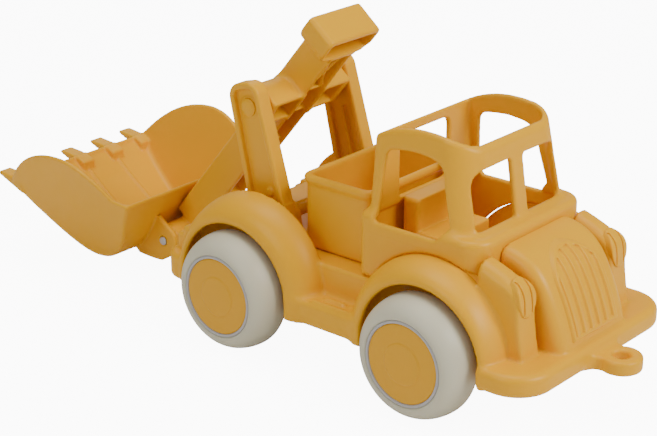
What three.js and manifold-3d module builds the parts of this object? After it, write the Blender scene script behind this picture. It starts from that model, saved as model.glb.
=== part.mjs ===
// Toy excavator: a moulded truck with an open-roofed cab, a tub and a rear digger arm.
// Millimetres, +Z up. The truck faces -Y, and X runs across it. Every size below is measured
// from the ground under the front axle; the last lines centre the whole toy on its origin.

import * as THREE from "three";
import { mergeVertices } from "three/addons/utils/BufferGeometryUtils.js";
import Module from "manifold-3d";

const wasm = await Module();
wasm.setup();

// ---------------------------------------------------------------- driving dimensions

// fits
const GAP = 0.3;                 // between mouldings that touch
const PRESS_GAP = 0.05;          // between a hub and what it is pressed on
const PIN_GAP = 0.15;            // around the pins that the boom holds
const WALL = 2.5;                // wall of every moulding

// wheels
const WHEEL_RADIUS = 30;
const WHEELBASE = 114.7;
const HUB_RADIUS = WHEEL_RADIUS - 10.65;
const HUB_FACE_X = 69.75;        // outer face of the hub discs
const TYRE_WIDTH = 23.4;
const TYRE_BULGE = 0.5;          // how far the tyre stands proud of the hub's face
const TYRE_CROWN_X = 55.5;       // where the tyre is widest around
const AXLE_RADIUS = 2;

// chassis
const FENDER_OPENING_RADIUS = WHEEL_RADIUS + 4;
const FENDERS = [                // outer arcs, with their centres measured from the wheels' centres
  { wheelY: 0, radius: WHEEL_RADIUS + 12.5, shift: [2, 1] },
  { wheelY: WHEELBASE, radius: WHEEL_RADIUS + 13.5, shift: [-4, 4] },
];
const FENDER_LIP = 1.2;          // thickness of a fender's edge around its opening
const FENDER_OUTER_X = 59;
const FENDER_INNER_X = 42;       // inner face of the wheel wells' inner walls
const FENDER_FLAT_X = 43;        // where a fender's top starts to round down to its lip
const SKIRT_BOTTOM_Z = 24.5;     // lowest edge of the fenders and the running boards
const DECK_Z = 52;               // deck that carries the cab, the seat and the tub
const DECK_END_Y = WHEELBASE + 34.8;
const BOARD_OUTER_X = 58;        // running boards
const BOARD_TOP_Z = 37;
const RIDGE_HEIGHT = 1;
const RIDGE_WIDTH = 2.6;
const OUTER_RIDGE = { x: BOARD_OUTER_X - 2.7, y: WHEELBASE * 0.462, length: 26 };
const INNER_RIDGE = { x: BOARD_OUTER_X - 8.3, y: WHEELBASE * 0.49, length: 13.5 };
const BUMPER_BOTTOM_Z = 25;
const BUMPER_TOP_Z = 36;
const BUMPER_FRONT_Y = -62;
const BUMPER_HALF_WIDTH = 61;
const BUMPER_CORNER = 19;
const BUMPER_EDGE = 2.4;
const AXLE_CHEEK_X = 18;         // cheeks that carry the axles
const AXLE_CHEEK_THICKNESS = 4;
const AXLE_CHEEK_HALF_LENGTH = 6;
const TOW_EYE_Y = -71.5;
const TOW_EYE_RADIUS = 10;
const TOW_HOLE_RADIUS = 4.2;
const TOW_EYE_THICKNESS = 7;
const TOW_EYE_NECK = 20;         // half width where the eye leaves the bumper
const STEP_BLOCK_INNER_X = 38;   // stepped blocks at the rear corners
const STEP_BLOCK_OUTER_X = 51;
const STEP_BLOCK_END_Y = WHEELBASE + 45.3;
const STEP_BLOCK_TOP_Z = 51;
const REAR_BUMPER_END_Y = WHEELBASE + 49.3;
const REAR_BUMPER_TOP_Z = 38;
const REAR_BUMPER_CORNER = 12;
const STEP = 4;
const LEG_CHEEK_THICKNESS = 6;   // cheeks on the deck that carry the legs' rod
const LEG_CHEEK_REACH = 9;

// hood
const HOOD_HALF_WIDTH = 27.5;
const HOOD_FRONT_Y = -58.2;
const HOOD_TOP_Z = 79.5;
const HOOD_EDGE = 6;
const POD_X = 37.5;              // middle of the headlight pods
const POD_WIDTH = 13;
const POD_FRONT_Y = -44;
const POD_TOP_Z = 73;            // above the lamp; the pod rises from there towards the cab
const POD_EDGE = 4;

// cab
const CAB_FRONT_Y = -22;
const CAB_BACK_Y = 47.2;
const CAB_HALF_WIDTH = 43.6;     // of the lower body
const CAB_CORNER = 12;           // front corners of the lower body
const CAB_REAR_CORNER = 4;
const SILL_LEDGE = 2.4;          // from the lower body's back to the rear pillars
const SILL_Z = 84.5;             // top of the lower body
const PILLAR_HALF_WIDTH = 40.6;  // of the pillars where they leave the lower body
const ROOF_HALF_WIDTH = 36.6;    // of the roof ring
const ROOF_FRONT_Z = 122;
const ROOF_PEAK_Z = 128;
const ROOF_REAR_Z = 120;
const CAB_WALL = 3;
const WINDOW_TOP_Z = 116;
const DOOR_SILL_Z = 81;
const CENTRE_PILLAR_WIDTH = 9.8;
const WINDSCREEN_HALF_WIDTH = 32.4;
const WINDSCREEN_SETBACK = 6.8;  // of the windscreen's foot behind the cowl's front
const WINDSCREEN_LEAN = 0.155;   // back for each unit up
const REAR_WINDOW_HALF_WIDTH = 19;
const PILLAR_CORNER = 14;        // rounding of the front pillars, seen from above
const REAR_PILLAR_CORNER = 5;

// seat and tub
const SEAT_HALF_WIDTH = 19;
const SEAT_TOP_Z = 70;
const SEAT_BACK_Z = 86;
const TUB_FRONT_Y = CAB_BACK_Y + 0.8;
const TUB_BACK_Y = WHEELBASE - 22.5;
const TUB_HALF_WIDTH = 34;
const TUB_TOP_Z = 89.8;
const TUB_RIM = 4.4;             // width and height of the rolled rim
const TUB_RIM_PROUD = 1.4;       // how far the rim stands out from the walls
const TUB_CORNER = 5;
const SEAT_LENGTH = 24;
const SEAT_BACK_LENGTH = 9;

// arm: pivots in the Y-Z plane
const LEG_PIVOT = new THREE.Vector2(WHEELBASE - 5.4, DECK_Z + 9.4);
const LEG_LENGTH = 57;           // from the legs' pivot to the boom's
const LEG_LEAN = 14.7;           // degrees from upright, towards the bucket
const LEG_INNER_X = 29;
const LEG_THICKNESS = 8.2;
const LEG_TOP_HALF_WIDTH = 9.7;
const LEG_FOOT_HALF_WIDTH = 12;
const LEG_TOP_REACH = 12.6;      // from the boom pivot to the leg's top
const LEG_TOP_CORNER = 7;
const LEG_WEB = 2.5;
const LEG_ROD_RADIUS = 3;
const BOOM_PIN_RADIUS = 4;
const BUCKET_PIN_RADIUS = 2.4;
const BOOM_SLOPE = 50.5;         // degrees below the level, towards the bucket
const BOOM_LENGTH = 118.7;       // from the boom's pivot to the bucket's
const BOOM_PIN_DROP = 2.28;      // of the bucket's pivot below the boom's own line
const BOOM_WIDTH = 18;
const BOOM_DEPTH = 18;
const BOOM_PIVOT_DEPTH = 9.7;    // of the boom pivot below the boom's top face
const BOOM_END = BOOM_LENGTH - 7.2;  // from the boom pivot to the square lower end
const GRIP_START = 36.5;         // from the boom pivot up to the grip
const GRIP_LENGTH = 16;
const GRIP_WIDTH = 38;
const CROSSPIECE_HALF_LENGTH = 9.6;
const BARREL_RADIUS = 8;
const BARREL_WIDTH = 43;
const BOOM_RIBS = [-9, 9, 34, 58, 82];  // places of the cross ribs, from the boom pivot

// bucket, with places measured from its pivot
const BUCKET_FLOOR_HALF_WIDTH = 49.5;   // at the floor's lip
const BUCKET_TOP_HALF_WIDTH = 59.5;     // at the top of the side plates
const BUCKET_LIP_Y = 91.5;
const BUCKET_LIP_Z = 17.1;
const BUCKET_TOP_Z = 46;
const BUCKET_RIM_Z = 27.5;
const BUCKET_WALL = 2.2;
const TOOTH_COUNT = 5;
const TOOTH_PITCH = 22.7;
const TOOTH_WIDTH = 8.5;
const TOOTH_LENGTH = 12;
const EAR_OUTER_X = 24.8;
const EAR_THICKNESS = 2.8;
const EAR_REACH = 8;

// A place in the Y-Z plane at a distance from another, at an angle in degrees above +Y.
function placeFrom(start, distance, degrees) {
  const angle = THREE.MathUtils.degToRad(degrees);
  return new THREE.Vector2(distance * Math.cos(angle), distance * Math.sin(angle)).add(start);
}

const BOOM_PIVOT = placeFrom(LEG_PIVOT, LEG_LENGTH, 90 - LEG_LEAN);
const BOOM_REACH_ANGLE = BOOM_SLOPE + THREE.MathUtils.radToDeg(Math.asin(BOOM_PIN_DROP / BOOM_LENGTH));
const BUCKET_PIVOT = placeFrom(BOOM_PIVOT, BOOM_LENGTH, -BOOM_REACH_ANGLE);

// ---------------------------------------------------------------- materials

function plastic(colour, roughness) {
  return new THREE.MeshStandardMaterial({ color: colour, roughness, metalness: 0 });
}

const yellowPlastic = plastic(0xf2b233, 0.45);
const discPlastic = plastic(0xe9a92c, 0.5);
const tyrePlastic = plastic(0xe4dfd4, 0.6);
const steel = new THREE.MeshStandardMaterial({ color: 0xb9bcc0, roughness: 0.35, metalness: 1 });

// ---------------------------------------------------------------- solids

// A closed geometry as a solid, turned right side out.
function solidOf(geometry) {
  const bare = geometry.index ? geometry.toNonIndexed() : geometry.clone();
  bare.deleteAttribute("normal");
  bare.deleteAttribute("uv");
  const merged = mergeVertices(bare, 1e-4);
  const points = merged.attributes.position.array;
  const order = merged.index.array;
  const faces = [];
  let volume = 0;
  for (let i = 0; i < order.length; i += 3) {
    const [a, b, c] = [order[i], order[i + 1], order[i + 2]];
    if (a === b || b === c || c === a) continue;
    faces.push([a, b, c]);
    const p = new THREE.Vector3().fromArray(points, 3 * a);
    const q = new THREE.Vector3().fromArray(points, 3 * b);
    const r = new THREE.Vector3().fromArray(points, 3 * c);
    volume += p.dot(q.cross(r));
  }
  const outward = volume > 0 ? faces : faces.map(([a, b, c]) => [a, c, b]);
  return new wasm.Manifold(new wasm.Mesh({
    numProp: 3,
    vertProperties: new Float32Array(points),
    triVerts: new Uint32Array(outward.flat()),
  }));
}

// A solid as a named mesh of the toy.
function piece(name, solid, material) {
  const mesh = solid.getMesh();
  const geometry = new THREE.BufferGeometry();
  geometry.setAttribute("position", new THREE.BufferAttribute(new Float32Array(mesh.vertProperties), 3));
  geometry.setIndex(new THREE.BufferAttribute(new Uint32Array(mesh.triVerts), 1));
  geometry.computeVertexNormals();
  const result = new THREE.Mesh(geometry, material);
  result.name = name;
  return result;
}

function join(solids) {
  return solids.reduce((sum, solid) => sum.add(solid));
}

function cut(solid, tools) {
  return tools.reduce((rest, tool) => rest.subtract(tool), solid);
}

// The same solid on the other side of the toy's middle plane.
function mirrored(solid) {
  return solid.mirror([1, 0, 0]);
}

function bothSides(solid) {
  return [solid, mirrored(solid)];
}

// An outline as plain corners, without doubled points and points on a straight line.
function corners(shape, segments) {
  const apart = shape.getPoints(segments).filter((point, index, all) => {
    const next = all[(index + 1) % all.length];
    return point.distanceTo(next) > 0.01;
  });
  return apart.filter((point, index, all) => {
    const before = point.clone().sub(all[(index + all.length - 1) % all.length]).normalize();
    const after = all[(index + 1) % all.length].clone().sub(point).normalize();
    return Math.abs(before.cross(after)) > 1e-3;
  });
}

// An outline extruded between two distances. An edge radius rounds both rims of the extrusion.
function extruded(shape, low, high, edge, segments) {
  return new THREE.ExtrudeGeometry(new THREE.Shape(corners(shape, segments)), {
    depth: high - low - 2 * edge,
    bevelEnabled: edge > 0,
    bevelThickness: edge,
    bevelSize: edge,
    bevelOffset: -edge,
    bevelSegments: 2,
  }).translate(0, 0, low + edge);
}

// Y-Z outline, extruded along X.
function sideSolid(shape, low, high, edge = 0, segments = 6) {
  const turn = new THREE.Matrix4().makeBasis(
    new THREE.Vector3(0, 1, 0), new THREE.Vector3(0, 0, 1), new THREE.Vector3(1, 0, 0));
  return solidOf(extruded(shape, low, high, edge, segments).applyMatrix4(turn));
}

// X-Y outline, extruded along Z.
function planSolid(shape, low, high, edge = 0, segments = 4) {
  return solidOf(extruded(shape, low, high, edge, segments));
}

// X-Z outline, extruded along Y.
function frontSolid(shape, low, high, edge = 0, segments = 4) {
  const turn = new THREE.Matrix4().makeBasis(
    new THREE.Vector3(1, 0, 0), new THREE.Vector3(0, 0, 1), new THREE.Vector3(0, -1, 0));
  return solidOf(extruded(shape, -high, -low, edge, segments).applyMatrix4(turn));
}

function block(xLow, xHigh, yLow, yHigh, zLow, zHigh) {
  return solidOf(new THREE.BoxGeometry(xHigh - xLow, yHigh - yLow, zHigh - zLow).translate(
    (xLow + xHigh) / 2, (yLow + yHigh) / 2, (zLow + zHigh) / 2));
}

// A profile of [radius, x] points turned about the X axis through (y, z).
function turned(profile, y, z, segments = 32) {
  const points = profile.map(([radius, x]) => new THREE.Vector2(radius, x));
  const turn = new THREE.Matrix4().makeRotationZ(-Math.PI / 2);
  return solidOf(new THREE.LatheGeometry(points, segments).applyMatrix4(turn).translate(0, y, z));
}

// A rod along X.
function rod(radius, xLow, xHigh, y, z, segments = 16) {
  return turned([[0, xLow], [radius, xLow], [radius, xHigh], [0, xHigh]], y, z, segments);
}

function outline(points) {
  return new THREE.Shape(points.map(([a, b]) => new THREE.Vector2(a, b)));
}

// A rectangle with round corners; radius is one number or one for each corner,
// anticlockwise from low a, low b.
function roundedRectangle(aLow, aHigh, bLow, bHigh, radius) {
  const [r0, r1, r2, r3] = Array.isArray(radius) ? radius : [radius, radius, radius, radius];
  const shape = new THREE.Shape();
  shape.moveTo(aLow + r0, bLow);
  shape.lineTo(aHigh - r1, bLow);
  if (r1 > 0) shape.absarc(aHigh - r1, bLow + r1, r1, -Math.PI / 2, 0);
  shape.lineTo(aHigh, bHigh - r2);
  if (r2 > 0) shape.absarc(aHigh - r2, bHigh - r2, r2, 0, Math.PI / 2);
  shape.lineTo(aLow + r3, bHigh);
  if (r3 > 0) shape.absarc(aLow + r3, bHigh - r3, r3, Math.PI / 2, Math.PI);
  shape.lineTo(aLow, bLow + r0);
  if (r0 > 0) shape.absarc(aLow + r0, bLow + r0, r0, Math.PI, 1.5 * Math.PI);
  return shape;
}

// ---------------------------------------------------------------- wheels and axles

const WHEEL_FACETS = 32;
const BEAD = 1.5;                // flat of the tyre's sides beside the hub
const HUB_INNER_X = HUB_FACE_X - TYRE_WIDTH + TYRE_BULGE;
const AXLE_END_X = HUB_FACE_X - 2 * WALL;

// A tyre whose sides round down from the crown in two quarters of ellipses.
function tyre(y) {
  const inner = HUB_RADIUS + PRESS_GAP;
  const low = HUB_INNER_X;
  const high = HUB_FACE_X + TYRE_BULGE;
  const core = inner + BEAD;
  const profile = [[inner, low + 1]];
  for (const angle of [-90, -60, -35, -15, 0, 15, 35, 60, 90].map(THREE.MathUtils.degToRad)) {
    const side = angle < 0 ? TYRE_CROWN_X - low : high - TYRE_CROWN_X;
    const radius = core + (WHEEL_RADIUS - core) * Math.cos(angle);
    profile.push([radius, TYRE_CROWN_X + side * Math.sin(angle)]);
  }
  profile.push([inner, HUB_FACE_X - 0.5], [inner, low + 1]);
  return turned(profile, y, WHEEL_RADIUS, WHEEL_FACETS);
}

// A dished disc with a rim for the tyre and a blind boss for the axle.
function hub(y) {
  const bore = AXLE_RADIUS + PRESS_GAP;
  const face = HUB_FACE_X;
  const profile = [
    [0, face], [HUB_RADIUS, face],
    [HUB_RADIUS, HUB_INNER_X + 1], [HUB_RADIUS - WALL, HUB_INNER_X + 1], [HUB_RADIUS - WALL, face - WALL],
    [bore + WALL, face - WALL], [bore + WALL, HUB_INNER_X], [bore, HUB_INNER_X],
    [bore, AXLE_END_X + 0.5], [0, AXLE_END_X + 0.5],
  ];
  return turned(profile, y, WHEEL_RADIUS, WHEEL_FACETS);
}

function axle(y) {
  return rod(AXLE_RADIUS, -AXLE_END_X, AXLE_END_X, y, WHEEL_RADIUS, WHEEL_FACETS);
}

// ---------------------------------------------------------------- chassis

// How far out across the toy a fender's roundover has come, from 0 at its flat top to 1 at its lip.
function roundover(x, outer) {
  return Math.min(Math.max((x - FENDER_FLAT_X) / (outer - FENDER_FLAT_X), 0), 1);
}

// Profile of a fender across the toy: level at first, then a quarter of an ellipse down to its
// lip. An inset gives the inside of its wall.
function fenderProfile(fender, inset) {
  const radius = fender.radius - inset;
  const outer = FENDER_OUTER_X - inset;
  const drop = fender.radius - FENDER_OPENING_RADIUS - FENDER_LIP;
  const profile = [[0, FENDER_INNER_X + inset], [radius, FENDER_INNER_X + inset]];
  for (const degrees of [0, 20, 40, 60, 80, 90]) {
    const angle = THREE.MathUtils.degToRad(degrees);
    const x = FENDER_FLAT_X + (outer - FENDER_FLAT_X) * Math.sin(angle);
    profile.push([radius - drop + drop * Math.cos(angle), x]);
  }
  return profile;
}

// A turned profile whose circles shift from the wheel's centre at the lip to the fender's own
// centre at its flat top.
function turnedFender(profile, fender, inset) {
  const points = profile.map(([radius, x]) => new THREE.Vector2(radius, x));
  const turn = new THREE.Matrix4().makeRotationZ(-Math.PI / 2);
  const geometry = new THREE.LatheGeometry(points, WHEEL_FACETS).applyMatrix4(turn);
  const position = geometry.attributes.position;
  for (let i = 0; i < position.count; i += 1) {
    const share = Math.sqrt(1 - roundover(position.getX(i), FENDER_OUTER_X - inset) ** 2);
    position.setY(i, position.getY(i) + fender.wheelY + share * fender.shift[0]);
    position.setZ(i, position.getZ(i) + WHEEL_RADIUS + share * fender.shift[1]);
  }
  return solidOf(geometry);
}

function arch(fender) {
  return turnedFender([...fenderProfile(fender, 0), [0, FENDER_OUTER_X]], fender, 0);
}

// The room inside a fender, open to the outside.
function wheelWell(fender) {
  const opening = FENDER_OPENING_RADIUS;
  const inside = fenderProfile(fender, WALL).filter(([radius]) => radius === 0 || radius > opening);
  const beyond = FENDER_OUTER_X + WALL;
  const lip = [[opening, FENDER_OUTER_X - WALL], [opening, beyond], [0, beyond]];
  return turnedFender([...inside, ...lip], fender, WALL);
}

// Side outline of the hood, drawn in from the outside by an inset.
function hoodOutline(inset) {
  const front = HOOD_FRONT_Y + inset;
  const top = HOOD_TOP_Z - inset;
  const back = CAB_FRONT_Y - GAP - inset;
  const shape = new THREE.Shape();
  shape.moveTo(back, SKIRT_BOTTOM_Z + inset);
  shape.lineTo(back, top);
  shape.quadraticCurveTo(-34, top - 1.5, -42, top - 9.5);
  shape.bezierCurveTo(-49, top - 17, front + 0.5, 48, front, BUMPER_TOP_Z);
  shape.lineTo(front, SKIRT_BOTTOM_Z + inset);
  return shape;
}

// The hood's side outline, with its long top edges and its front corners rounded.
function hoodSolid(inset) {
  const half = HOOD_HALF_WIDTH - inset;
  const edge = HOOD_EDGE;
  const seen = roundedRectangle(-half, half, SKIRT_BOTTOM_Z, HOOD_TOP_Z + 1 - inset, [0, 0, edge, edge]);
  const plan = roundedRectangle(-half, half, HOOD_FRONT_Y + inset - 0.5, CAB_FRONT_Y, [edge, edge, 0, 0]);
  return sideSolid(hoodOutline(inset), -half - 1, half + 1)
    .intersect(frontSolid(seen, HOOD_FRONT_Y - 5, CAB_FRONT_Y + 1))
    .intersect(planSolid(plan, SKIRT_BOTTOM_Z - 1, HOOD_TOP_Z + 5));
}

// Headlight pod with the column under it.
function pod(inset) {
  const low = POD_X - POD_WIDTH / 2 + inset;
  const high = POD_X + POD_WIDTH / 2 - inset;
  const back = CAB_FRONT_Y - GAP - inset;
  const shape = new THREE.Shape();
  shape.moveTo(back, SKIRT_BOTTOM_Z + 1);
  shape.lineTo(back, POD_TOP_Z + 5 - inset);
  shape.lineTo(POD_FRONT_Y + 3 + inset, POD_TOP_Z - 1 - inset);
  shape.quadraticCurveTo(POD_FRONT_Y + inset, POD_TOP_Z - 2.5 - inset, POD_FRONT_Y + inset, 66);
  shape.lineTo(POD_FRONT_Y + inset, 57);
  shape.lineTo(POD_FRONT_Y - 3 + inset, BUMPER_TOP_Z);
  shape.lineTo(POD_FRONT_Y - 3 + inset, SKIRT_BOTTOM_Z + 1);
  const edge = Math.min(POD_EDGE, (high - low) / 2 - 0.5);
  const seen = roundedRectangle(low, high, SKIRT_BOTTOM_Z, POD_TOP_Z + 5 - inset, [0, 0, edge, edge]);
  return sideSolid(shape, low - 1, high + 1).intersect(frontSolid(seen, POD_FRONT_Y - 5, CAB_FRONT_Y));
}

// Plan of the bumper, which runs back beside the fenders' lips.
function bumperPlan(inset) {
  const half = BUMPER_HALF_WIDTH - inset;
  return roundedRectangle(-half, half, BUMPER_FRONT_Y + inset, 3 - FENDER_OPENING_RADIUS,
    [BUMPER_CORNER - inset, BUMPER_CORNER - inset, 0, 0]);
}

function bumper() {
  const plate = planSolid(bumperPlan(0), BUMPER_BOTTOM_Z, BUMPER_TOP_Z, BUMPER_EDGE);
  const hollow = planSolid(bumperPlan(WALL), BUMPER_BOTTOM_Z - 2, BUMPER_TOP_Z - WALL);
  return plate.subtract(hollow);
}

function towEye() {
  const shape = new THREE.Shape();
  const neck = TOW_EYE_NECK;
  const back = BUMPER_FRONT_Y + 4;
  const side = Math.asin(0.55);
  shape.moveTo(-neck, back);
  shape.quadraticCurveTo(-TOW_EYE_RADIUS - 2, BUMPER_FRONT_Y - 1, -TOW_EYE_RADIUS * Math.cos(side),
    TOW_EYE_Y + TOW_EYE_RADIUS * Math.sin(side));
  shape.absarc(0, TOW_EYE_Y, TOW_EYE_RADIUS, Math.PI - side, 2 * Math.PI + side);
  shape.quadraticCurveTo(TOW_EYE_RADIUS + 2, BUMPER_FRONT_Y - 1, neck, back);
  const low = BUMPER_BOTTOM_Z;
  const plate = planSolid(shape, low, low + TOW_EYE_THICKNESS);
  const hole = new THREE.Shape();
  hole.absarc(0, TOW_EYE_Y, TOW_HOLE_RADIUS, 0, 2 * Math.PI);
  return plate.subtract(planSolid(hole, low - 1, low + TOW_EYE_THICKNESS + 1));
}

// The running board between the fenders, with two ridges along its top for a foothold.
function runningBoard() {
  const low = FENDERS[0].radius * 0.55;
  const high = WHEELBASE - low;
  const outer = block(FENDER_INNER_X, BOARD_OUTER_X, low, high, SKIRT_BOTTOM_Z, BOARD_TOP_Z);
  const hollow = block(FENDER_INNER_X + WALL, BOARD_OUTER_X - WALL, low, high,
    SKIRT_BOTTOM_Z - 1, BOARD_TOP_Z - WALL);
  const half = RIDGE_WIDTH / 2;
  const ridges = [OUTER_RIDGE, INNER_RIDGE].map(({ x, y, length }) => planSolid(
    roundedRectangle(x - half, x + half, y - length / 2, y + length / 2, half - 0.1),
    BOARD_TOP_Z - 1, BOARD_TOP_Z + RIDGE_HEIGHT));
  return join([outer.subtract(hollow), ...ridges]);
}

// The rear corner: the bumper's end behind the fender, with a stepped block on top of it.
function rearCorner() {
  const top = STEP_BLOCK_TOP_Z;
  const end = STEP_BLOCK_END_Y;
  const start = DECK_END_Y - WALL;
  const steps = sideSolid(outline([
    [start, SKIRT_BOTTOM_Z], [end, SKIRT_BOTTOM_Z], [end, top - STEP], [end - STEP, top - STEP],
    [end - STEP, top], [start, top],
  ]), STEP_BLOCK_INNER_X, STEP_BLOCK_OUTER_X);
  const insideSteps = block(STEP_BLOCK_INNER_X + WALL, STEP_BLOCK_OUTER_X - WALL, start,
    end - STEP - WALL, SKIRT_BOTTOM_Z - 1, top - WALL);
  const bumperStart = WHEELBASE + FENDER_OPENING_RADIUS * 0.85;
  const plan = (inset) => roundedRectangle(STEP_BLOCK_INNER_X + inset, FENDER_OUTER_X - 1 - inset,
    bumperStart + inset, REAR_BUMPER_END_Y - inset, [0, 0, REAR_BUMPER_CORNER - inset, 0]);
  const bumperEnd = planSolid(plan(0), SKIRT_BOTTOM_Z, REAR_BUMPER_TOP_Z);
  const insideEnd = planSolid(plan(WALL), SKIRT_BOTTOM_Z - 1, REAR_BUMPER_TOP_Z - WALL);
  return cut(join([steps, bumperEnd]), [insideSteps, insideEnd]);
}

// Cheeks under the deck that carry an axle.
function axleCheeks(y) {
  const [low, high] = [AXLE_CHEEK_X - AXLE_CHEEK_THICKNESS / 2, AXLE_CHEEK_X + AXLE_CHEEK_THICKNESS / 2];
  const half = AXLE_CHEEK_HALF_LENGTH;
  const cheek = block(low, high, y - half, y + half, WHEEL_RADIUS - 2 * WALL, DECK_Z - 1);
  const bore = rod(AXLE_RADIUS + GAP, low - 1, high + 1, y, WHEEL_RADIUS);
  return bothSides(cheek.subtract(bore));
}

// Notches in the wheel wells' inner walls that an axle passes through.
function axleNotches(y) {
  const half = AXLE_RADIUS + 1.5;
  return bothSides(block(FENDER_INNER_X - 1, FENDER_INNER_X + WALL + 1, y - half, y + half,
    SKIRT_BOTTOM_Z - 1, WHEEL_RADIUS + half));
}

// Cheeks on the deck that carry the legs' rod, just inside the legs.
function legCheeks() {
  const high = LEG_INNER_X - GAP;
  const reach = LEG_CHEEK_REACH;
  const shape = new THREE.Shape();
  shape.moveTo(LEG_PIVOT.x - reach - 4, DECK_Z - 10);
  shape.lineTo(LEG_PIVOT.x + reach + 4, DECK_Z - 10);
  shape.lineTo(LEG_PIVOT.x + reach, LEG_PIVOT.y);
  shape.absarc(LEG_PIVOT.x, LEG_PIVOT.y, reach, 0, Math.PI);
  const cheek = sideSolid(shape, high - LEG_CHEEK_THICKNESS, high);
  return bothSides(cheek.subtract(rod(LEG_ROD_RADIUS + GAP, 0, high + 1, LEG_PIVOT.x, LEG_PIVOT.y)));
}

// Room in the deck for one leg's foot.
function legSlot() {
  const reach = LEG_FOOT_HALF_WIDTH + 4;
  return block(LEG_INNER_X - GAP, FENDER_INNER_X, LEG_PIVOT.x - reach, LEG_PIVOT.x + reach,
    DECK_Z - 10, DECK_Z + 40);
}

function chassis() {
  const bottom = SKIRT_BOTTOM_Z;
  const front = BUMPER_FRONT_Y + 8;
  const deck = block(-FENDER_INNER_X - WALL, FENDER_INNER_X + WALL, front, DECK_END_Y, bottom, DECK_Z);
  const noseAboveBumper = block(-FENDER_INNER_X - WALL - 1, FENDER_INNER_X + WALL + 1, front - 20,
    CAB_FRONT_Y - GAP, BUMPER_TOP_Z, DECK_Z + 1);
  const underside = block(-FENDER_INNER_X, FENDER_INNER_X, front + WALL, DECK_END_Y - WALL,
    bottom - 1, DECK_Z - WALL);
  const arches = FENDERS.flatMap((fender) => bothSides(arch(fender)));
  const wells = FENDERS.flatMap((fender) => bothSides(wheelWell(fender)));
  const belowGround = block(-90, 90, -90, 190, -60, bottom);
  const shell = cut(join([deck.subtract(noseAboveBumper), ...arches]), [belowGround, underside]);
  const withHood = join([shell, hoodSolid(0), ...bothSides(pod(0)), bumper(), towEye()]);
  const hollowHood = cut(withHood, [
    hoodSolid(WALL), ...bothSides(pod(WALL)),
    block(-HOOD_HALF_WIDTH + 5, HOOD_HALF_WIDTH - 5, HOOD_FRONT_Y + 8, CAB_FRONT_Y - 8,
      bottom - 4, bottom + 9),
    ...bothSides(block(POD_X - 3, POD_X + 3, POD_FRONT_Y + 4, CAB_FRONT_Y - 6, bottom - 4, bottom + 9)),
  ]);
  const details = [runningBoard(), rearCorner()].flatMap((solid) => bothSides(solid));
  const body = cut(join([hollowHood, ...details]), wells);
  const notches = FENDERS.flatMap(({ wheelY }) => axleNotches(wheelY));
  const cheeks = FENDERS.flatMap(({ wheelY }) => axleCheeks(wheelY));
  return join([cut(body, [...bothSides(legSlot()), ...notches]), ...cheeks, ...legCheeks()]);
}

// ---------------------------------------------------------------- cab, seat and tub

// The pillars' box between the sill and the roof, leaning in towards the top.
function cabUpper(inset) {
  const half = PILLAR_HALF_WIDTH - inset;
  const front = CAB_FRONT_Y + WINDSCREEN_SETBACK + inset;
  const back = CAB_BACK_Y - SILL_LEDGE - inset;
  const low = SILL_Z - 10;
  const high = ROOF_PEAK_Z + 6;
  const [near, far] = [PILLAR_CORNER - inset, REAR_PILLAR_CORNER - inset];
  const shape = roundedRectangle(-half, half, front, back, [near, near, far, far]);
  const geometry = extruded(shape, low, high, 0, 4);
  const position = geometry.attributes.position;
  const slope = (PILLAR_HALF_WIDTH - ROOF_HALF_WIDTH) / (ROOF_FRONT_Z - SILL_Z);
  for (let i = 0; i < position.count; i += 1) {
    const rise = position.getZ(i) - SILL_Z;
    const share = (position.getY(i) - front) / (back - front);
    position.setX(i, position.getX(i) * (1 - (slope * rise) / half));
    position.setY(i, position.getY(i) + rise * WINDSCREEN_LEAN * (1 - share));
  }
  return solidOf(geometry);
}

function cabLower(inset) {
  const half = CAB_HALF_WIDTH - inset;
  const [near, far] = [CAB_CORNER - inset, CAB_REAR_CORNER - inset];
  const [front, back] = [CAB_FRONT_Y + inset, CAB_BACK_Y - inset];
  const shape = roundedRectangle(-half, half, front, back, [near, near, far, far]);
  return planSolid(shape, DECK_Z + GAP, SILL_Z - inset, inset > 0 ? 0 : 2);
}

// Everything under the arched top of the roof ring.
function underRoof() {
  const back = CAB_BACK_Y - SILL_LEDGE;
  const front = CAB_FRONT_Y + WINDSCREEN_SETBACK + WINDSCREEN_LEAN * (ROOF_FRONT_Z - SILL_Z);
  const shape = new THREE.Shape();
  shape.moveTo(-60, 0);
  shape.lineTo(80, 0);
  shape.lineTo(80, ROOF_REAR_Z);
  shape.lineTo(back, ROOF_REAR_Z);
  shape.quadraticCurveTo((back + front) / 2 - 3, 2 * ROOF_PEAK_Z - (ROOF_FRONT_Z + ROOF_REAR_Z) / 2,
    front, ROOF_FRONT_Z);
  shape.lineTo(-60, ROOF_FRONT_Z);
  return sideSolid(shape, -70, 70);
}

function doorWindows() {
  const low = DOOR_SILL_Z;
  const high = WINDOW_TOP_Z;
  const shape = new THREE.Shape();
  shape.moveTo(2.5, low);
  shape.lineTo(36.5, low);
  shape.quadraticCurveTo(38.6, low, 38.3, low + 3);
  shape.lineTo(36, high - 4);
  shape.quadraticCurveTo(35.7, high - 1, 31, high - 0.4);
  shape.quadraticCurveTo(14, high + 2, 6, high - 3);
  shape.lineTo(2.8, high - 8);
  shape.lineTo(-2.2, low + 6.5);
  return sideSolid(shape, -70, 70);
}

// The two panes of the windscreen, as a cut from the front.
function windscreens() {
  const pane = roundedRectangle(CENTRE_PILLAR_WIDTH / 2, WINDSCREEN_HALF_WIDTH, SILL_Z + 0.9,
    WINDOW_TOP_Z - 3.2, [2, 2, 8, 2]);
  return bothSides(frontSolid(pane, -40, 8));
}

function rearWindow() {
  const half = REAR_WINDOW_HALF_WIDTH;
  return frontSolid(roundedRectangle(-half, half, SILL_Z + 0.5, WINDOW_TOP_Z, 5), 30, 70);
}

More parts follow.
